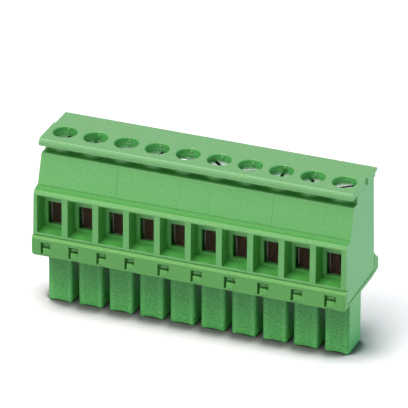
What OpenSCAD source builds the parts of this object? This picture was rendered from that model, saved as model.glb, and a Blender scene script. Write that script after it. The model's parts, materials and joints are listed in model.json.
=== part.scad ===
// Pluggable ten-way terminal block with top screws, front wire funnels and a row of
// contact prongs. X runs along the row, -Y is the wire side and +Z the screw side.
// The prong tips stand on Z = 0, and the part is centred over the origin.

/* [Row] */
// Number of poles in the row
poles = 10; // [2:1:10]
// Distance from one pole to the next
pitch = 3.81; // [3.81:0.01:5.08]
// Overhang of the contact carrier past the centre of each end pole
end_margin = 2.2; // [2.0:0.05:2.4]
// How far the ends of the upper housing lean in from the seam to the top plate
end_draft = 0.2; // [0.1:0.05:0.3]

/* [Heights] */
// Height of the flat underside that seats on the header
seat_z = 7.25; // [6.9:0.05:7.4]
// Height of the seam between the two housings at the skirt
seam_front_z = 7.8; // [7.7:0.05:7.85]
// Height of the seam between the two housings at the back
seam_back_z = 8.15; // [8.05:0.05:8.2]
// Height of the top edge of the front skirt
skirt_top_z = 9.75; // [9.6:0.05:9.9]
// Height of the ledge over the wire funnels
ledge_z = 15.4; // [15.2:0.05:15.6]
// Height of the top edge of the sloping front face
face_top_z = 19.2; // [19.0:0.05:19.4]
// Height of the underside of the top plate
plate_under_z = 20.2; // [20.1:0.05:20.4]
// Overall height
top_z = 21.1; // [21.0:0.05:21.4]

/* [Depths from the contact row] */
// Front face of the skirt
skirt_front = 5.1; // [5.0:0.05:5.3]
// Wall thickness of the skirt
skirt_wall = 0.7; // [0.6:0.05:0.8]
// Front face of the upper housing, round the wire funnels
face_front = 4.8; // [4.75:0.01:4.85]
// Crease between the sloping front face and the ledge
crease_front = 3.4; // [3.3:0.05:3.6]
// Top edge of the sloping front face
face_top_front = 2.35; // [2.2:0.05:2.4]
// Front edge of the top plate
lip_front = 2.75; // [2.6:0.05:2.9]
// Back face of the upper housing
body_back = 4.25; // [4.1:0.05:4.4]
// Rear edge of the top plate
lip_back = 4.85; // [4.6:0.05:5.0]
// Back face of the bulged rear wall of the carrier
carrier_back = 5.6; // [5.3:0.05:5.8]

/* [Top plate] */
// Sideways step that lets neighbouring blocks nest
nest_step = 0.2; // [0.1:0.05:0.3]
// Distance from the contact row back to the nesting step
nest_y = 1.85; // [1.5:0.05:2.5]

/* [Screw wells] */
// Radius of a screw well
well_r = 1.4; // [1.36:0.02:1.45]
// Height of the shoulder below the screw head
well_floor_z = 18.9; // [18.6:0.1:18.9]
// Outer radius of the tube around a screw well
tube_r = 1.75; // [1.7:0.05:1.8]
// Chamfer at the rim of a screw well
rim_chamfer = 0.12; // [0.05:0.01:0.2]
// Direction of the nib that keeps a screw in its well
nib_angle = 95; // [0:1:359]

/* [Wire funnels] */
// Width of a wire funnel at the front
funnel_w = 3.1; // [2.9:0.02:3.2]
// Offset of a funnel from its pole towards the left end
funnel_shift = 0.1; // [0:0.02:0.12]
// Height of the lower edge of a funnel
funnel_low_z = 10.07; // [10.0:0.01:10.3]
// Height of the upper edge of a funnel
funnel_high_z = 14.82; // [14.5:0.02:14.9]
// Distance from the contact row to the floor of a funnel
funnel_floor = 2.95; // [2.8:0.05:3.2]
// Width of the opening at the end of a funnel
entry_w = 1.8; // [1.7:0.05:2.0]
// Height of the opening at the end of a funnel
entry_h = 2.85; // [2.4:0.05:3.0]
// Height of the lower edge of that opening
entry_z = 10.5; // [10.25:0.05:10.5]

/* [Latches] */
// Width of a latch window with its slit, before its group's share
latch_w = 1.29; // [1.2:0.01:1.4]
// Width of the slit beside a latch nose
latch_slit = 0.26; // [0.2:0.02:0.3]
// Distance from the end of the carrier to the first window
latch_start = 1.1; // [0.9:0.05:1.3]
// Number of windows in the first, closer group
latch_group = 4; // [1:1:10]
// Width and spacing in the first group, as a share of the pitch
latch_near = 0.914; // [0.9:0.002:0.95]
// Width and spacing in the second group, as a share of the pitch
latch_far = 1.072; // [1.0:0.002:1.072]

/* [Prongs] */
// Width of a contact prong
prong_w = 3.0; // [2.8:0.02:3.0]
// Depth of a contact prong
prong_d = 3.96; // [3.8:0.02:4.1]
// Radius of the upright edges of a prong
prong_r = 0.28; // [0.2:0.02:0.4]
// Width of the square mouth for a header pin
mouth_w = 1.3; // [1.1:0.05:1.4]

/* [Clamps] */
// Width of a clamp sleeve
sleeve_w = 2.7; // [2.6:0.05:2.75]
// Distance from the contact row to the front of a clamp sleeve
sleeve_front = 1.5; // [1.4:0.05:1.7]
// Distance from the contact row to the back of a clamp sleeve
sleeve_back = 1.45; // [1.3:0.05:1.5]
// Sheet thickness of a clamp sleeve
sleeve_t = 0.3; // [0.25:0.01:0.3]
// Height at which an open sleeve rests
sleeve_z = 9.35; // [9.2:0.05:9.35]
// Radius of the screw shank
shank_r = 1.0; // [0.9:0.05:1.0]
// Radial clearance of the shank in the sleeve's thread
thread_gap = 0.03; // [0.01:0.01:0.08]
// Radius of the screw head
head_r = 1.3; // [1.2:0.05:1.3]
// Height of the top of the lowest screw head
head_top_z = 20.15; // [20.1:0.05:20.2]

/* [Contacts] */
// Width of the contact strip
strip_w = 1.8; // [1.6:0.05:1.85]
// Height of the underside of the clamping tongue
tongue_z = 12.75; // [12.7:0.05:12.8]
// Thickness of the clamping tongue
tongue_t = 0.55; // [0.5:0.05:0.6]

/* [Hidden] */
$fn = 48;
eps = 0.01;
pole_list = [1 : poles];

row_half = (poles - 1) * pitch / 2;
row_y = (skirt_front - carrier_back) / 2;
carrier_half = row_half + end_margin;
body_half = carrier_half - 0.02;
plate_half = body_half - end_draft;
skirt_back = skirt_front - skirt_wall;

face_draft = 0.1;
ledge_front = face_front - 0.35;
chamfer_drop = 0.4;
crease_rise = 0.25;
rear_lip_z = top_z - 0.43;
lip_line_z = plate_under_z + 0.45;
groove_back = 1.15;

cavity_w = sleeve_w + 0.15;
cavity_gap = 0.15;
cavity_front = 2.5;
cavity_top_z = 16.9;
neck_r = shank_r + 0.06;
slot_w = strip_w + 0.2;
slot_back = 2.45;

seam_gap = 0.12;
nose_low_z = 8.31;
nose_high_z = 8.73;
nose_set_back = 0.4;
window_low_z = 8.24;
window_high_z = 9.0;
slit_low_z = 7.45;
flap_step = 0.08;

socket_w = 2.1;
socket_d = 2.6;
socket_floor = 0.8;
mouth_lead = 0.3;
arch_rise = 0.2;
arch_r = 4;
tip_chamfer = 0.22;

sleeve_floor_t = 0.6;
sleeve_top_z = tongue_z + tongue_t + 0.1;
sleeve_top_t = 1.0;
sleeve_mid = (sleeve_back - sleeve_front) / 2;
sleeve_d = sleeve_front + sleeve_back;

head_h = 1.2;
head_slot_w = 0.42;
head_slot_d = 0.62;
head_round = 0.25;
tip_h = 0.3;
slot_angles = [70, 112, 20, 68, 5, 140, 22, 95, 128, 38];
screw_rise = [0.03, 0.03, 0.07, 0.05, 0.05, 0.28, 0.18, 0.2, 0.2, 0.3];

leaf_t = 0.3;
foot_z = 8.1;
foot_t = 0.45;
riser_back = 2.3;
tongue_front = 1.25;

function pole_x(i) = (i - 1) * pitch - row_half;

function latch_x(i) = -carrier_half + latch_start + pitch
    * (latch_near * min(i - 1, latch_group - 1) + latch_far * max(i - latch_group, 0));

function latch_width(i) = latch_w * (i > latch_group ? latch_far : latch_near);

function unit(v) = v / norm(v);

// Points of the arc that rounds corner b of the path a, b, c with radius r.
function corner(a, b, c, r, steps) =
    let (u = unit(a - b))
    let (v = unit(c - b))
    let (half = acos(u * v) / 2)
    let (mid = b + unit(u + v) * r / sin(half))
    let (from = b + u * r / tan(half) - mid)
    let (to = b + v * r / tan(half) - mid)
    let (start = atan2(from.y, from.x))
    let (turn = (atan2(to.y, to.x) - start + 540) % 360 - 180)
    [for (k = [0 : steps]) mid + r * [cos(start + turn * k / steps), sin(start + turn * k / steps)]];

function flat_point(p) = [p.x, p.y];

// Outline with a rounded corner wherever a point has a radius as third value.
function rounded(path, steps = 4) = [
    for (k = [0 : len(path) - 1])
        let (a = flat_point(path[(k + len(path) - 1) % len(path)]))
        let (b = flat_point(path[k]))
        let (c = flat_point(path[(k + 1) % len(path)]))
        each (len(path[k]) < 3 ? [b] : corner(a, b, c, path[k][2], steps))
];

// Extrudes a side view, drawn as depth and height, along the row.
module along_row(length) {
    rotate([90, 0, 90])
        linear_extrude(length, center = true)
            children();
}

// Extrudes a front view, drawn as width and height, through the depth.
module through_depth(depth) {
    rotate([90, 0, 0])
        linear_extrude(depth, center = true)
            children();
}

// Places what is drawn about the contact row so that the part is centred.
module in_place() {
    translate([0, row_y, 0])
        children();
}

module at_pole(i) {
    translate([pole_x(i), 0, 0])
        children();
}

module centred_box(w, d, low, high) {
    translate([-w / 2, -d / 2, low])
        cube([w, d, high - low]);
}

// Rounded rectangle of true arcs, centred on the origin.
module rounded_plan(w, d, r) {
    square([w - 2 * r, d], center = true);
    square([w, d - 2 * r], center = true);
    for (sx = [-1, 1], sy = [-1, 1])
        translate([sx * (w / 2 - r), sy * (d / 2 - r)])
            circle(r, $fn = 24);
}

// Side view of the upper housing below its top plate.
module housing_side() {
    polygon(rounded([
        [-skirt_back, seam_front_z],
        [body_back, seam_back_z],
        [body_back, plate_under_z + eps],
        [-groove_back, plate_under_z + eps],
        [-groove_back, face_top_z, 0.1],
        [-face_top_front, face_top_z, 0.3],
        [-crease_front, ledge_z + crease_rise],
        [-ledge_front, ledge_z, 0.1],
        [-face_front + face_draft, ledge_z - chamfer_drop, 0.12],
        [-face_front, skirt_top_z],
        [-skirt_back, skirt_top_z]
    ]));
}

// Front view of the upper housing, with leaning ends.
module housing_front() {
    polygon([
        [-body_half, seam_front_z],
        [body_half, seam_front_z],
        [plate_half, top_z],
        [-plate_half, top_z]
    ]);
}

// Top plate: its plan steps in and out so that blocks nest side by side.
module top_plate() {
    wide = plate_half + nest_step;
    intersection() {
        translate([0, 0, plate_under_z - 1])
            linear_extrude(3)
                polygon([
                    [-wide, -10],
                    [-wide, nest_y],
                    [-plate_half, nest_y],
                    [-plate_half, 10],
                    [wide, 10],
                    [wide, nest_y],
                    [plate_half, nest_y],
                    [plate_half, -10]
                ]);
        along_row(3 * carrier_half)
            polygon(rounded([
                [-lip_front, plate_under_z, 0.08],
                [body_back - eps, plate_under_z],
                [body_back - eps, rear_lip_z],
                [lip_back, rear_lip_z, 0.1],
                [lip_back, top_z, 0.12],
                [-lip_front + 0.25, top_z, 0.5],
                [-lip_front, lip_line_z, 0.04]
            ]));
    }
}

// Side view of the fine groove along the seam of each end.
module seam_groove() {
    polygon([
        [-skirt_back, seam_front_z - 0.2],
        [body_back + 1, seam_back_z - 0.2],
        [body_back + 1, seam_back_z + seam_gap],
        [-skirt_back, seam_front_z + seam_gap]
    ]);
}

// Hooks on the front wall that snap into the windows of the skirt.
module latch_noses() {
    gap = 0.22;
    for (i = pole_list)
        translate([latch_x(i) + (latch_width(i) + latch_slit - gap) / 2, 0, 0])
            along_row(latch_width(i) - latch_slit - gap)
                polygon([
                    [-skirt_back + 0.2, nose_high_z],
                    [-skirt_front + nose_set_back, nose_high_z],
                    [-skirt_front + nose_set_back, nose_low_z + 0.07],
                    [-skirt_back + 0.2, nose_low_z]
                ]);
}

// Tapered wire funnel: the overlap of a tapered plan and a tapered side view.
module wire_funnel() {
    taper = 0.22;
    intersection() {
        translate([0, 0, funnel_low_z - 1])
            linear_extrude(funnel_high_z - funnel_low_z + 2)
                polygon([
                    [-funnel_w / 2, -6],
                    [funnel_w / 2, -6],
                    [funnel_w / 2, -face_front],
                    [funnel_w / 2 - taper, -funnel_floor],
                    [-funnel_w / 2 + taper, -funnel_floor],
                    [-funnel_w / 2, -face_front]
                ]);
        along_row(funnel_w + 1)
            polygon([
                [-6, funnel_low_z],
                [-face_front, funnel_low_z],
                [-funnel_floor, funnel_low_z + 0.1],
                [-funnel_floor, funnel_high_z - taper],
                [-face_front, funnel_high_z],
                [-6, funnel_high_z]
            ]);
    }
}

// Everything that one pole hollows out of the upper housing.
module pole_hollow() {
    translate([0, 0, well_floor_z])
        cylinder(h = top_z - well_floor_z + 1, r = well_r);
    translate([0, 0, top_z - rim_chamfer])
        cylinder(h = rim_chamfer + eps, r1 = well_r, r2 = well_r + rim_chamfer + eps);
    cylinder(h = top_z, r = neck_r);
    translate([-cavity_w / 2, -cavity_front, 0])
        cube([cavity_w, cavity_front + sleeve_back + cavity_gap, cavity_top_z]);
    translate([-slot_w / 2, 0, 0])
        cube([slot_w, slot_back, sleeve_top_z + 0.3]);
    translate([-funnel_shift, 0, 0])
        wire_funnel();
    translate([-entry_w / 2 - funnel_shift, -funnel_floor - 0.5, entry_z])
        cube([entry_w, funnel_floor, entry_h]);
}

module upper_housing() color([0.45, 0.72, 0.45]) in_place() {
    union() {
        difference() {
            union() {
                intersection() {
                    along_row(3 * carrier_half)
                        housing_side();
                    through_depth(30)
                        housing_front();
                }
                top_plate();
                latch_noses();
                for (i = pole_list)
                    at_pole(i)
                        translate([0, 0, face_top_z - eps])
                            cylinder(h = plate_under_z - face_top_z + 2 * eps, r = tube_r);
            }
            for (i = pole_list)
                at_pole(i)
                    pole_hollow();
            for (side = [-1, 1])
                translate([side * (body_half + 0.5 - 0.15), 0, 0])
                    along_row(1)
                        seam_groove();
        }
        for (i = pole_list)
            at_pole(i)
                rotate([0, 0, nib_angle])
                    translate([well_r + 0.02, 0, top_z - 0.42])
                        sphere(0.18, $fn = 24);
    }
}

// Side view of the carrier: skirt in front, base, and bulged wall behind.
module carrier_side() {
    polygon(rounded([
        [-skirt_front, seat_z, 0.12],
        [2.05, seat_z],
        [4.45, seat_z + 0.4],
        [carrier_back, seat_z + 0.55, 0.2],
        [carrier_back, 9.15, 0.2],
        [body_back, 10.35, 0.05],
        [body_back, seam_back_z],
        [-skirt_back, seam_front_z],
        [-skirt_back, skirt_top_z - seam_gap],
        [-skirt_front + 0.15, skirt_top_z - seam_gap],
        [-skirt_front, skirt_top_z - seam_gap - 0.25, 0.08]
    ]));
}

// Front view of the carrier, with rounded lower corners.
module carrier_front() {
    polygon(rounded([
        [-carrier_half, seat_z - eps, 0.4],
        [carrier_half, seat_z - eps, 0.4],
        [carrier_half, top_z],
        [-carrier_half, top_z]
    ]));
}

// One contact prong, open at the top for its spring.
module prong() {
    intersection() {
        linear_extrude(seam_front_z)
            rounded_plan(prong_w, prong_d, prong_r);
        through_depth(prong_d + 1)
            difference() {
                polygon([
                    [-prong_w / 2 + tip_chamfer, 0],
                    [prong_w / 2 - tip_chamfer, 0],
                    [prong_w / 2, tip_chamfer],
                    [prong_w / 2, seam_front_z],
                    [-prong_w / 2, seam_front_z],
                    [-prong_w / 2, tip_chamfer]
                ]);
                translate([0, arch_rise - arch_r])
                    circle(arch_r, $fn = 96);
            }
        along_row(prong_w + 1)
            polygon([
                [-prong_d / 2 + tip_chamfer / 2, 0],
                [prong_d / 2 - tip_chamfer, 0],
                [prong_d / 2, 2 * tip_chamfer],
                [prong_d / 2, seam_front_z],
                [-prong_d / 2, seam_front_z],
                [-prong_d / 2, tip_chamfer]
            ]);
    }
}

// Square funnel that leads a header pin into the prong.
module pin_mouth() {
    wide = mouth_w / 2 + mouth_lead;
    centred_box(mouth_w, mouth_w, -1, socket_floor + eps);
    intersection() {
        through_depth(10)
            polygon([[-wide, -eps], [wide, -eps], [0, wide]]);
        along_row(10)
            polygon([[-wide, -eps], [wide, -eps], [0, wide]]);
    }
}

// Ribs on the carrier that hold an open sleeve up, and the seat of the spring's foot.
module sleeve_ribs() {
    rib_w = 0.38;
    for (side = [-1, 1])
        translate([side * (sleeve_w - rib_w) / 2 - rib_w / 2, -sleeve_front, seat_z + 0.1])
            cube([rib_w, sleeve_d, sleeve_z - seat_z - 0.1]);
    translate([-strip_w / 2, -socket_d / 2 - 0.1, seat_z + 0.1])
        cube([strip_w, slot_back - 0.1 + socket_d / 2, foot_z - seat_z - 0.1]);
}

// Window, slit and stepped flap that take one latch nose.
module latch_window(w) {
    translate([0, -skirt_front - 1, window_low_z])
        cube([w, skirt_wall + 1 + eps, window_high_z - window_low_z]);
    translate([0, -skirt_front - 1, slit_low_z])
        cube([latch_slit, skirt_wall + 1 + eps, window_low_z - slit_low_z + eps]);
    translate([latch_slit - eps, -skirt_front - 1, seat_z - 1])
        cube([w - latch_slit, 1 + flap_step, window_low_z - seat_z + 1 + eps]);
}

module contact_carrier() color([0.35, 0.64, 0.36]) in_place() {
    difference() {
        union() {
            intersection() {
                along_row(3 * carrier_half)
                    carrier_side();
                through_depth(30)
                    carrier_front();
            }
            for (i = pole_list)
                at_pole(i) {
                    prong();
                    sleeve_ribs();
                }
        }
        for (i = pole_list) {
            at_pole(i) {
                centred_box(socket_w, socket_d, socket_floor, foot_z + eps);
                pin_mouth();
            }
            translate([latch_x(i), 0, 0])
                latch_window(latch_width(i));
        }
    }
}

// Slotted clamp screw, left at its own height and with its slot at its own angle.
module clamp_screw(i) color([0.75, 0.76, 0.78]) in_place() {
    low = tongue_z + tongue_t + 0.02;
    high = head_top_z + screw_rise[(i - 1) % len(screw_rise)];
    head_low = high - head_h;
    at_pole(i)
        difference() {
            union() {
                translate([0, 0, low])
                    cylinder(h = tip_h, r1 = shank_r - 0.25, r2 = shank_r);
                translate([0, 0, low + tip_h])
                    cylinder(h = head_low - low - tip_h + eps, r = shank_r);
                rotate_extrude()
                    polygon(concat(
                        [[0, high], [0, head_low], [head_r - 0.1, head_low],
                         [head_r, head_low + 0.1]],
                        corner([head_r, head_low], [head_r, high], [0, high], head_round, 5)
                    ));
            }
            translate([0, 0, high - head_slot_d])
                rotate([0, 0, slot_angles[(i - 1) % len(slot_angles)]])
                    translate([-head_r - 1, -head_slot_w / 2, 0])
                        cube([2 * head_r + 2, head_slot_w, head_slot_d + 1]);
        }
}

// Square clamp sleeve with a thickened, threaded top.
module clamp_sleeve(i) color([0.7, 0.7, 0.68]) in_place() {
    fold_r = 0.25;
    high = sleeve_top_z + sleeve_top_t;
    at_pole(i)
        difference() {
            translate([0, sleeve_mid, (sleeve_z + high) / 2])
                through_depth(sleeve_d)
                    rounded_plan(sleeve_w, high - sleeve_z, fold_r);
            centred_box(sleeve_w - 2 * sleeve_t, 10, sleeve_z + sleeve_floor_t, sleeve_top_z);
            translate([0, 0, sleeve_top_z - eps])
                cylinder(h = 2 * sleeve_top_t, r = shank_r + thread_gap);
        }
}

// Spring outline: clamping tongue, riser, foot and two leaves that grip a pin.
module spring_side() {
    polygon(rounded([
        [-tongue_front, tongue_z],
        [riser_back - tongue_t, tongue_z, 0.15],
        [riser_back - tongue_t, foot_z + foot_t, 0.15],
        [-1.15, foot_z + foot_t],
        [-1.15, foot_z, 0.15],
        [-0.68, 2.9, 0.8],
        [-0.95, 1.2],
        [-0.95 + leaf_t, 1.2],
        [-0.38, 2.9, 0.5],
        [-0.85, foot_z, 0.15],
        [0.85, foot_z, 0.15],
        [0.38, 2.9, 0.5],
        [0.95 - leaf_t, 1.2],
        [0.95, 1.2],
        [0.68, 2.9, 0.8],
        [1.15, foot_z, 0.15],
        [riser_back, foot_z, 0.5],
        [riser_back, tongue_z + tongue_t, 0.65],
        [-tongue_front, tongue_z + tongue_t, 0.2]
    ]));
}

module contact_spring(i) color([0.72, 0.47, 0.32]) in_place() {
    at_pole(i)
        along_row(strip_w)
            spring_side();
}

upper_housing();
contact_carrier();
for (i = pole_list) {
    clamp_screw(i);
    clamp_sleeve(i);
    contact_spring(i);
}
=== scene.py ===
# %% [markdown]
# A pluggable terminal block is two green mouldings that snap together: an upper housing with
# wire funnels and screw wells, and a contact carrier with a row of hollow prongs. The packed
# solids give every size and place. They are loaded first, and they are never moved.

import json
import math

import bmesh
import bpy
from mathutils import Matrix, Vector

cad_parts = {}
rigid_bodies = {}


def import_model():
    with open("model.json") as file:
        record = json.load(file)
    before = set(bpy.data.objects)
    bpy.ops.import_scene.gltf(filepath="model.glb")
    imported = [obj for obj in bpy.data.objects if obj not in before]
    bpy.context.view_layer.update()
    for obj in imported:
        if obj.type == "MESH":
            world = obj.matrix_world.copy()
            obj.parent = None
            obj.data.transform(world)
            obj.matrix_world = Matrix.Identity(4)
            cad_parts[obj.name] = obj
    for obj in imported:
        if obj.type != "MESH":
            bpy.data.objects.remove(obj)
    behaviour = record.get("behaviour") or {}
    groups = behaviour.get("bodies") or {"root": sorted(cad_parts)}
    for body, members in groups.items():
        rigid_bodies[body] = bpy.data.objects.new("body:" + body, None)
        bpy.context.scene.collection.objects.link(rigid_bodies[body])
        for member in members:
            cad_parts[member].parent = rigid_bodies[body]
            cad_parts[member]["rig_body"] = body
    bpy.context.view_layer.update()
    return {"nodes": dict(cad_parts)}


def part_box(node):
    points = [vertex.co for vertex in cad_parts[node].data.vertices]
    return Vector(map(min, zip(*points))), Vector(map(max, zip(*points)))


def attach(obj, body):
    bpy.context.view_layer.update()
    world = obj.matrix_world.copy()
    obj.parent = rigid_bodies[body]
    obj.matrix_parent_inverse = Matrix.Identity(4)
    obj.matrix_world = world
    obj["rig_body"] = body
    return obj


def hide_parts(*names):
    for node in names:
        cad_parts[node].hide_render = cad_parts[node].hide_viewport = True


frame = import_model()

# %% [markdown]
# All sizes below are written in millimetres and turned into metres by one factor. The poles
# are counted from the screws, and the row's own plane is read from them as well.

# %% Units and the row
mm = 0.001
poles = sum(name.startswith("clamp_screw_") for name in frame["nodes"])


def middle(node):
    """Centre of a node's box."""
    low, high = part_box(node)
    return (low + high) / 2


pitch = middle("clamp_screw_2").x - middle("clamp_screw_1").x
row_y = middle("clamp_screw_1").y
print("poles:", poles, "pitch in mm:", round(pitch / mm, 2), "row at y:", round(row_y / mm, 2))

# %% [markdown]
# A small part is best shown with a long lens from some distance, so that the row stays
# nearly parallel. The camera looks from the right of the front and from above. It is placed
# by two angles and a distance from a point near the middle of the block.

# %% Camera
camera_data = bpy.data.cameras.new("camera")
camera_data.sensor_width = 36
camera_data.lens = 538.1
camera_data.clip_start = 0.01
camera = bpy.data.objects.new("camera", camera_data)
bpy.context.scene.collection.objects.link(camera)
bpy.context.scene.camera = camera

turn, rise = math.radians(21.67), math.radians(27.21)
right = Vector((math.cos(turn), math.sin(turn), 0))
back = Vector((math.sin(turn) * math.cos(rise), -math.cos(turn) * math.cos(rise), math.sin(rise)))
up = back.cross(right)
target = Vector((0, -1, 10)) * mm
camera.matrix_world = Matrix((right, up, back)).transposed().to_4x4()
camera.location = target + (back * 700 + right * 0.3 + up * 4.77) * mm
print("camera at", [round(v, 3) for v in camera.location])

# %% [markdown]
# The light is plain studio light. A soft box above the front is the key, and leaves a soft
# shadow under the block. A low one in front lights the wire side, and a cooler one on the right
# lights the end face. A faint even world fills the rest. Lamp power grows with the square of
# the distance, so a helper works it out.

# %% Lights
def soft_box(name, place, size, level, tint=(1, 1, 1)):
    """Square lamp aimed at the part. A white sheet facing it would render at the given level."""
    lamp = bpy.data.lights.new(name, "AREA")
    lamp.shape = "SQUARE"
    lamp.size = size
    lamp.color = tint
    place = Vector(place)
    lamp.energy = level * math.pi**2 * (place - target).length_squared
    item = bpy.data.objects.new(name, lamp)
    bpy.context.scene.collection.objects.link(item)
    item.location = place
    item.rotation_euler = (place - target).to_track_quat("Z", "Y").to_euler()
    print(name, "power in W:", round(lamp.energy, 3))
    return item


soft_box("key", (-0.10, -0.17, 0.455), 0.30, 0.92, (1.0, 0.97, 0.96))
soft_box("front_fill", (-0.28, -0.40, 0.06), 0.30, 0.16, (1.0, 0.97, 0.95))
end_fill = soft_box("end_fill", (0.43, 0.16, 0.08), 0.16, 0.46, (0.37, 0.81, 1.0))
# Its mirror image would glare on the slope behind the block.
end_fill.visible_glossy = False

world = bpy.data.worlds.new("studio")
bpy.context.scene.world = world
world.use_nodes = True

# %% [markdown]
# Materials are node trees. Every pattern reads Object coordinates in metres, so a helper
# starts each tree with one coordinate node and the main shader, and another adds noise.

# %% Material helpers
def new_material(name, **sockets):
    """Material with a main shader whose plain values are set on its own sockets."""
    material = bpy.data.materials.new(name)
    material.use_nodes = True
    nodes = material.node_tree.nodes
    shader = nodes["Principled BSDF"]
    for socket, value in sockets.items():
        shader.inputs[socket.replace("_", " ")].default_value = value
    place = nodes.new("ShaderNodeTexCoord").outputs["Object"]
    return material, shader, place


def noise(material, place, size, detail=2.0, stretch=(1, 1, 1)):
    """Noise with features of about the given size in mm."""
    nodes, links = material.node_tree.nodes, material.node_tree.links
    mapping = nodes.new("ShaderNodeMapping")
    mapping.inputs["Scale"].default_value = stretch
    texture = nodes.new("ShaderNodeTexNoise")
    texture.inputs["Scale"].default_value = 1 / (size * mm)
    texture.inputs["Detail"].default_value = detail
    links.new(place, mapping.inputs["Vector"])
    links.new(mapping.outputs["Vector"], texture.inputs["Vector"])
    return texture.outputs["Fac"]


def ramp(material, value, stops):
    """Colour ramp through (position, colour) stops."""
    node = material.node_tree.nodes.new("ShaderNodeValToRGB")
    material.node_tree.links.new(value, node.inputs["Fac"])
    elements = node.color_ramp.elements
    while len(elements) < len(stops):
        elements.new(1)
    for element, (position, colour) in zip(elements, stops):
        element.position = position
        element.color = (*colour, 1)
    return node.outputs["Color"]


def bump(material, shader, height, strength, depth):
    """Bump from a height value, with its depth in mm."""
    node = material.node_tree.nodes.new("ShaderNodeBump")
    node.inputs["Strength"].default_value = strength
    node.inputs["Distance"].default_value = depth * mm
    material.node_tree.links.new(height, node.inputs["Height"])
    material.node_tree.links.new(node.outputs["Normal"], shader.inputs["Normal"])


# %% [markdown]
# Some patterns follow the height or the pole and not a noise. They are made from Math nodes,
# and darken the base colour where they apply. The same nodes tell a camera ray from the rays
# that light the part, so that only what is seen of the studio is white.

# %% Pattern helpers
def math_node(tree, operation, *values):
    """Math node whose inputs are numbers or other nodes' outputs."""
    node = tree.nodes.new("ShaderNodeMath")
    node.operation = operation
    for slot, value in zip(node.inputs, values):
        if isinstance(value, (int, float)):
            slot.default_value = value
        else:
            tree.links.new(value, slot)
    return node.outputs["Value"]


def axes(material):
    """Object coordinates of a material, split in X, Y and Z."""
    nodes, links = material.node_tree.nodes, material.node_tree.links
    split = nodes.new("ShaderNodeSeparateXYZ")
    links.new(nodes["Texture Coordinate"].outputs["Object"], split.inputs["Vector"])
    return split.outputs


def multiply(tree, factor, first, second):
    """First colour, multiplied by the second where the factor is one."""
    mix = tree.nodes.new("ShaderNodeMix")
    mix.data_type = "RGBA"
    mix.blend_type = "MULTIPLY"
    tree.links.new(factor, mix.inputs["Factor"])
    tree.links.new(first, mix.inputs["A"])
    if isinstance(second, tuple):
        mix.inputs["B"].default_value = (*second, 1)
    else:
        tree.links.new(second, mix.inputs["B"])
    return mix.outputs["Result"]


def tint(material, factor, colour):
    """Multiplies the base colour by another colour where the factor is one."""
    tree = material.node_tree
    socket = tree.nodes["Principled BSDF"].inputs["Base Color"]
    tree.links.new(multiply(tree, factor, socket.links[0].from_socket, colour), socket)


def background_rays(tree):
    """One for rays that should see a white studio: from the camera, mirrored or refracted."""
    rays = tree.nodes.new("ShaderNodeLightPath").outputs
    mirrored = math_node(tree, "MAXIMUM", rays["Is Camera Ray"], rays["Is Glossy Ray"])
    return math_node(tree, "MAXIMUM", mirrored, rays["Is Transmission Ray"])


print("helpers ready")

# %% [markdown]
# Both mouldings are coloured polyamide with a fine eroded skin. The upper housing is lighter
# and smoother. The carrier is more saturated and rougher, most of all on its prongs. Their
# rounded edges get a lighter, slightly glossier finish of their own: a painted highlight.

# %% Plastics
def plastic(name, dark, light, grain, relief, roughness, gloss=0.6):
    """Speckled plastic between two colours, with the grain and the relief of its skin in mm."""
    material, shader, place = new_material(name, Roughness=roughness, Specular_IOR_Level=gloss)
    speckle = noise(material, place, grain, detail=3)
    colour = ramp(material, speckle, [(0.3, dark), (0.7, light)])
    material.node_tree.links.new(colour, shader.inputs["Base Color"])
    bump(material, shader, speckle, 0.5, relief)
    return material


housing_plastic = plastic(
    "housing_plastic", (0.12, 0.42, 0.115), (0.155, 0.48, 0.148), 0.25, 0.02, 0.4, 0.5
)
carrier_plastic = plastic(
    "carrier_plastic", (0.07, 0.33, 0.055), (0.10, 0.39, 0.08), 0.2, 0.02, 0.42
)
# Painted highlight for the rounded rims and the slopes that face up and forward.
housing_painted_highlight = plastic("housing_painted_highlight", (0.15, 0.46, 0.13), (0.20, 0.52, 0.165), 0.3, 0.01, 0.4)
carrier_painted_highlight = plastic("carrier_painted_highlight", (0.14, 0.43, 0.10), (0.19, 0.50, 0.13), 0.3, 0.01, 0.4)
print("plastics:", housing_plastic.name, carrier_plastic.name)

# %% [markdown]
# The skin isn't the same all over. The top plate and its lip are painted paler, a painted sheen
# where they catch the light. The ledge and the inside of the wells and funnels are painted a
# deeper, darker green, a painted shade where little light reaches. The prongs are eroded most,
# because that part of the mould is the roughest.

# %% Painted sheen and shade of single places, and the prongs
top_painted_sheen = plastic(
    "top_painted_sheen", (0.16, 0.44, 0.155), (0.20, 0.50, 0.19), 0.25, 0.02, 0.4, 0.5
)
# Painted shade on the ledge and in the funnels.
ledge_and_funnel_painted_shade = plastic(
    "ledge_and_funnel_painted_shade", (0.07, 0.36, 0.06), (0.10, 0.42, 0.09), 0.25, 0.02, 0.5, 0.3
)
# Painted shade inside the wells.
well_painted_shade = plastic(
    "well_painted_shade", (0.055, 0.36, 0.07), (0.09, 0.44, 0.10), 0.2, 0.02, 0.32
)
prong_plastic = plastic(
    "prong_plastic", (0.065, 0.42, 0.12), (0.22, 0.74, 0.19), 0.2, 0.05, 0.5, 0.45
)
print("skins:", top_painted_sheen.name, ledge_and_funnel_painted_shade.name, well_painted_shade.name, prong_plastic.name)

# %% [markdown]
# Molten plastic that flows round the cores of the mould meets again in fine upright weld
# lines. Four of them show on the sloping front, two clear and two faint.

# %% Weld lines
slope_middle_z, half_slope = 17.4 * mm, 1.75 * mm
slope_y = -2 * mm
weld_half_widths = {3: 0.045, 5: 0.02, 6: 0.02, poles - 2: 0.04}
weld_shade = (0.6, 0.74, 0.6)

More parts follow.
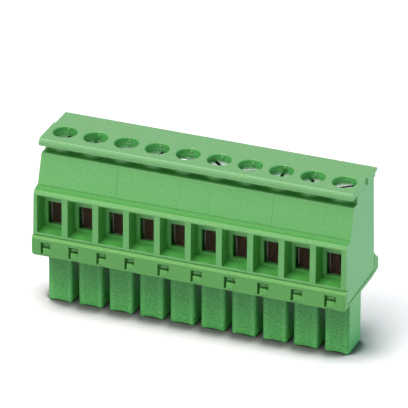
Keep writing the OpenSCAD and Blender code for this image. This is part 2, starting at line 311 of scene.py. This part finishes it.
tree = housing_plastic.node_tree
across, depth, height = axes(housing_plastic)
on_slope = math_node(
    tree, "MULTIPLY",
    math_node(tree, "COMPARE", height, slope_middle_z, half_slope),
    math_node(tree, "LESS_THAN", depth, slope_y),
)
for pole, half_width in weld_half_widths.items():
    pole_x = middle(f"clamp_screw_{pole}").x
    line = math_node(tree, "COMPARE", across, pole_x, half_width * mm)
    tint(housing_plastic, math_node(tree, "MULTIPLY", line, on_slope), weld_shade)
print("weld lines at poles", list(weld_half_widths))

# %% [markdown]
# Lighter lines run down beside both edges of each prong: a painted highlight where the rounded
# edges catch the light. The prongs are darker towards the skirt and lighter towards the tips: a
# painted shade under the skirt. One pattern serves all the prongs, because the distance across
# is folded back at every pitch.

# %% Painted highlights and shade on the prongs
highlight_line, half_highlight = 1.08 * mm, 0.2 * mm
beside_shade, root_shade = (0.8, 0.88, 0.8), (0.30, 0.42, 0.42)
pale_z, root_z = 0.2 * mm, 6.5 * mm

tree = prong_plastic.node_tree
across, depth, height = axes(prong_plastic)
first_fold = middle("clamp_screw_1").x - 20 * pitch
from_first = math_node(tree, "SUBTRACT", across, first_fold)
from_middle = math_node(tree, "PINGPONG", from_first, pitch / 2)
highlighted = math_node(tree, "COMPARE", from_middle, highlight_line, half_highlight)
# Painted highlight: the prong is darkened everywhere but on the lines beside its edges.
tint(prong_plastic, math_node(tree, "SUBTRACT", 1.0, highlighted), beside_shade)
# Painted shade: darker towards the root, under the skirt.
upward = tree.nodes.new("ShaderNodeMapRange")
upward.inputs["From Min"].default_value = pale_z
upward.inputs["From Max"].default_value = root_z
tree.links.new(height, upward.inputs["Value"])
tint(prong_plastic, upward.outputs["Result"], root_shade)
print("prongs rubbed at", round(highlight_line / mm, 2), "mm from their middle")

# %% [markdown]
# The screws are zinc plated, the sleeves nickel plated and the contacts a copper alloy. Fine
# drawn streaks change the roughness, which is what makes bare metal look like metal. The slots
# get little light, so they get a dull dark metal: a painted shade.

# %% Metals
def metal(name, colour, roughness, streak):
    """Drawn metal whose roughness runs between two values in streaks along the short axes."""
    material, shader, place = new_material(name, Metallic=1.0, Base_Color=(*colour, 1))
    streaks = noise(material, place, 0.12, detail=4, stretch=streak)
    low, high = roughness
    value = ramp(material, streaks, [(0.3, (low,) * 3), (0.7, (high,) * 3)])
    material.node_tree.links.new(value, shader.inputs["Roughness"])
    bump(material, shader, streaks, 0.3, 0.01)
    return material


zinc = metal("zinc_plate", (0.80, 0.81, 0.82), (0.12, 0.40), (1, 6, 1))
slot_shade = metal("slot_shade", (0.04, 0.04, 0.035), (0.4, 0.6), (1, 6, 1))
nickel = metal("nickel_plate", (0.48, 0.47, 0.42), (0.25, 0.45), (1, 1, 8))
copper = metal("contact_alloy", (0.36, 0.24, 0.19), (0.25, 0.45), (6, 1, 1))
print("metals:", zinc.name, slot_shade.name, nickel.name, copper.name)

# %% [markdown]
# A mould never gives a razor edge, and nor does a press tool. The solids carry the main
# roundings, and here each part gets a small one on its other outer edges: its mesh is copied,
# the loose triangles are merged into flat faces, and the outer edges between them are
# bevelled. Normals weighted by area keep the flats flat beside the rounded rims.

# %% Rounded copies
flat_turn = math.radians(0.5)
round_turn = math.radians(14)
steep_turn = math.radians(35)
merge_distance = 0.0005 * mm
rim_index = 1


def finish_piece(mesh_edit, name, materials, node):
    """Turns a bmesh into a piece that stands for a CAD node and rides on its body."""
    for face in mesh_edit.faces:
        face.smooth = True
    mesh = bpy.data.meshes.new(name)
    mesh_edit.to_mesh(mesh)
    mesh_edit.free()
    for material in materials:
        mesh.materials.append(material)
    piece = bpy.data.objects.new(name, mesh)
    bpy.context.scene.collection.objects.link(piece)
    weighted = piece.modifiers.new("flat_faces", "WEIGHTED_NORMAL")
    weighted.keep_sharp = True
    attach(piece, frame["nodes"][node]["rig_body"])
    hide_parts(node)
    return piece


def rounded_copy(node, name, width, skin, rim):
    """Bevelled copy of a CAD node, with a finish for its rims. The width is in mm."""
    mesh_edit = bmesh.new()
    mesh_edit.from_mesh(frame["nodes"][node].data)
    bmesh.ops.remove_doubles(mesh_edit, verts=mesh_edit.verts, dist=merge_distance)
    bmesh.ops.dissolve_limit(
        mesh_edit, angle_limit=flat_turn, verts=mesh_edit.verts, edges=mesh_edit.edges
    )
    outer = [
        edge for edge in mesh_edit.edges
        if edge.is_manifold and edge.calc_face_angle_signed() > steep_turn
    ]
    rims = bmesh.ops.bevel(
        mesh_edit, geom=outer, offset=width * mm, segments=2, profile=0.5,
        affect="EDGES", material=-1, clamp_overlap=False,
    )["faces"]
    for face in rims:
        face.material_index = rim_index
    for edge in mesh_edit.edges:
        on_rim = any(face.material_index == rim_index for face in edge.link_faces)
        edge.smooth = on_rim or edge.calc_face_angle(0) < round_turn
    return finish_piece(mesh_edit, name, (skin, rim), node)


# %% [markdown]
# The two mouldings come first. They meet at a seam behind the front skirt. In the solids the
# skirt ends a little below the housing, so that they never touch. Real mouldings close up when
# they snap together, so the skirt's upper edge is brought up to leave a hairline.

# %% Mouldings
moulding_round = 0.05
skirt_edge_z = 9.6 * mm
seam_closing = 0.085 * mm

housing = rounded_copy(
    "upper_housing", "housing_shell", moulding_round, housing_plastic, housing_painted_highlight
)
carrier = rounded_copy(
    "contact_carrier", "carrier_shell", moulding_round, carrier_plastic, carrier_painted_highlight
)
for vertex in carrier.data.vertices:
    if vertex.co.z > skirt_edge_z and vertex.co.y < 0:
        vertex.co.z += seam_closing
print("housing faces:", len(housing.data.polygons), "carrier faces:", len(carrier.data.polygons))

# %% [markdown]
# The skins go on by place. A face takes one when its centre and its normal pass a test, which
# is how a painter would mask it: top, well, ledge, funnel, prong and the slopes between. The top
# gets a painted sheen; the well, ledge and funnel a painted shade; the slopes that face up and
# forward a painted highlight; and the outer sides of the end prongs the lighter housing plastic,
# as painted light from the side. A later skin goes over an earlier one, so the order counts.

# %% Where each skin goes
def refinish(piece, material, test):
    """Gives another finish to the faces whose centre in mm and normal pass a test."""
    piece.data.materials.append(material)
    index = len(piece.data.materials) - 1
    chosen = [face for face in piece.data.polygons if test(face.center / mm, face.normal)]
    for face in chosen:
        face.material_index = index
    print(piece.name, "of", len(piece.data.polygons), "faces,", len(chosen), "in", material.name)


top_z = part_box("upper_housing")[1].z / mm
half_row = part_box("upper_housing")[1].x / mm
screw_axes = [middle(f"clamp_screw_{i}") / mm for i in range(1, poles + 1)]
seat_z = 7.2
lip_height, lip_y = 0.85, -2.6
well_depth, well_reach = 4, 1.6
ledge_low, ledge_high, ledge_y = 15.3, 16.7, -2
brow_low, brow_high, brow_y = 14.9, 16, -3
funnel_low, funnel_high = 9.8, 15.2
funnel_front, funnel_back = -4.9, -1.5
end_wall, prong_side = 0.5, 1.2


def on_top(at, normal):
    plate = at.z > top_z - 0.05 and normal.z > 0.95
    lip = at.z > top_z - lip_height and at.y < lip_y and normal.y < -0.3
    return plate or lip


def on_ledge(at, normal):
    return ledge_low < at.z < ledge_high and at.y < ledge_y and normal.z > 0.85


def in_well(at, normal):
    near = any((at - axis).xy.length < well_reach for axis in screw_axes)
    return near and at.z > top_z - well_depth and abs(normal.z) < 0.3


def in_funnel(at, normal):
    inside = funnel_front < at.y < funnel_back and abs(at.x) < half_row - end_wall
    below_brow = at.z < brow_low or normal.z < 0
    return inside and funnel_low < at.z < funnel_high and normal.y > -0.9 and below_brow


def on_brow(at, normal):
    return brow_low < at.z < brow_high and at.y < brow_y and 0.3 < normal.z < 0.85


def on_prong(at, normal):
    return at.z < seat_z


def on_lit_row_end(at, normal):
    return at.z < seat_z and abs(at.x) > half_row - prong_side and abs(normal.x) > 0.9


def on_skirt_edge(at, normal):
    return normal.y < -0.3 and 0.3 < normal.z < 0.95


# Painted sheen on the top plate and its lip.
refinish(housing, top_painted_sheen, on_top)
# Painted shade on the ledge, in the wells and in the funnels.
refinish(housing, ledge_and_funnel_painted_shade, on_ledge)
refinish(housing, well_painted_shade, in_well)
refinish(housing, ledge_and_funnel_painted_shade, in_funnel)
# Painted highlight on the brow above the funnels.
refinish(housing, housing_painted_highlight, on_brow)
refinish(carrier, prong_plastic, on_prong)
# Painted light on the outer sides of the end prongs, in the lighter housing plastic.
refinish(carrier, housing_plastic, on_lit_row_end)
# Painted highlight on the skirt's upper edge.
refinish(carrier, carrier_painted_highlight, on_skirt_edge)

# %% [markdown]
# The screws, sleeves and contact springs get smaller roundings, so that their edges catch the
# light, and their metals. A screw's slot is found as the faces just under the top of its head.

# %% Metal parts
turned_round, strip_round = 0.04, 0.03
slot_low, slot_high, head_reach = 0.7, 0.1, 1.2

for i, axis in enumerate(screw_axes, start=1):
    screw = rounded_copy(f"clamp_screw_{i}", f"screw_{i}", turned_round, zinc, zinc)
    head_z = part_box(f"clamp_screw_{i}")[1].z / mm

    def in_slot(at, normal):
        level = head_z - slot_low < at.z < head_z - slot_high
        return level and (at - axis).xy.length < head_reach

    # Painted shade in the slot.
    refinish(screw, slot_shade, in_slot)
    rounded_copy(f"clamp_sleeve_{i}", f"sleeve_{i}", turned_round, nickel, nickel)
    rounded_copy(f"contact_spring_{i}", f"spring_{i}", strip_round, copper, copper)
print("rounded", 3 * poles, "metal parts")

# %% [markdown]
# The floor is a plain pale sheet at the height of the prong tips.

# %% Floor
floor_edit = bmesh.new()
bmesh.ops.create_grid(floor_edit, x_segments=1, y_segments=1, size=3)
floor_mesh = bpy.data.meshes.new("floor")
floor_edit.to_mesh(floor_mesh)
floor_edit.free()
floor = bpy.data.objects.new("floor", floor_mesh)
bpy.context.scene.collection.objects.link(floor)
print("floor across in m:", round(floor.dimensions.x, 1))

# %% [markdown]
# In a studio the floor under a small part is blown out to white, and only the soft shadow stays.
# The floor glows a little to the camera where it is open, a painted light, and neither glows
# nor stays as pale where the part is close, a painted shadow. An Ambient Occlusion node tells
# how close, from 0 to 1.

# %% Floor paint
floor_paint, floor_shader, floor_place = new_material(
    "floor_paint", Roughness=0.9, Specular_IOR_Level=0.1
)
tree = floor_paint.node_tree
cloud = noise(floor_paint, floor_place, 40)
paper = ramp(floor_paint, cloud, [(0, (0.91,) * 3), (1, (0.93,) * 3)])

contact = tree.nodes.new("ShaderNodeAmbientOcclusion")
contact.samples = 24
contact.inputs["Distance"].default_value = 6 * mm
openness = contact.outputs["AO"]
# Painted shadow near the part, and painted glow where the floor is open.
contact_shade = ramp(floor_paint, openness, [(0.6, (0.26, 0.24, 0.26)), (0.7, (1, 0.95, 1))])
glow = ramp(floor_paint, openness, [(0.68, (0,) * 3), (0.84, (0.36,) * 3), (1, (1,) * 3)])

seen = background_rays(tree)
glow_level = math_node(tree, "MULTIPLY", seen, 0.5)
tree.links.new(multiply(tree, seen, paper, contact_shade), floor_shader.inputs["Base Color"])
tree.links.new(glow, floor_shader.inputs["Emission Color"])
tree.links.new(glow_level, floor_shader.inputs["Emission Strength"])
floor_mesh.materials.append(floor_paint)
print("floor nodes:", len(tree.nodes))

# %% [markdown]
# The world fills the shadows a little. Only rays from the camera, mirrored or refracted see it
# as white, so the background is white without more light on the part.

# %% World
tree = world.node_tree
world_shader = tree.nodes["Background"]
world_shader.inputs["Color"].default_value = (1, 1, 1, 1)
level = tree.nodes.new("ShaderNodeMix")
level.data_type = "FLOAT"
level.inputs["A"].default_value = 0.08
level.inputs["B"].default_value = 1.0
tree.links.new(background_rays(tree), level.inputs["Factor"])
tree.links.new(level.outputs["Result"], world_shader.inputs["Strength"])
print("world fill:", round(level.inputs["A"].default_value, 2))

# %% [markdown]
# Colours are shown as they are, without a film look.

# %% Finish
bpy.context.scene.view_settings.view_transform = "Standard"
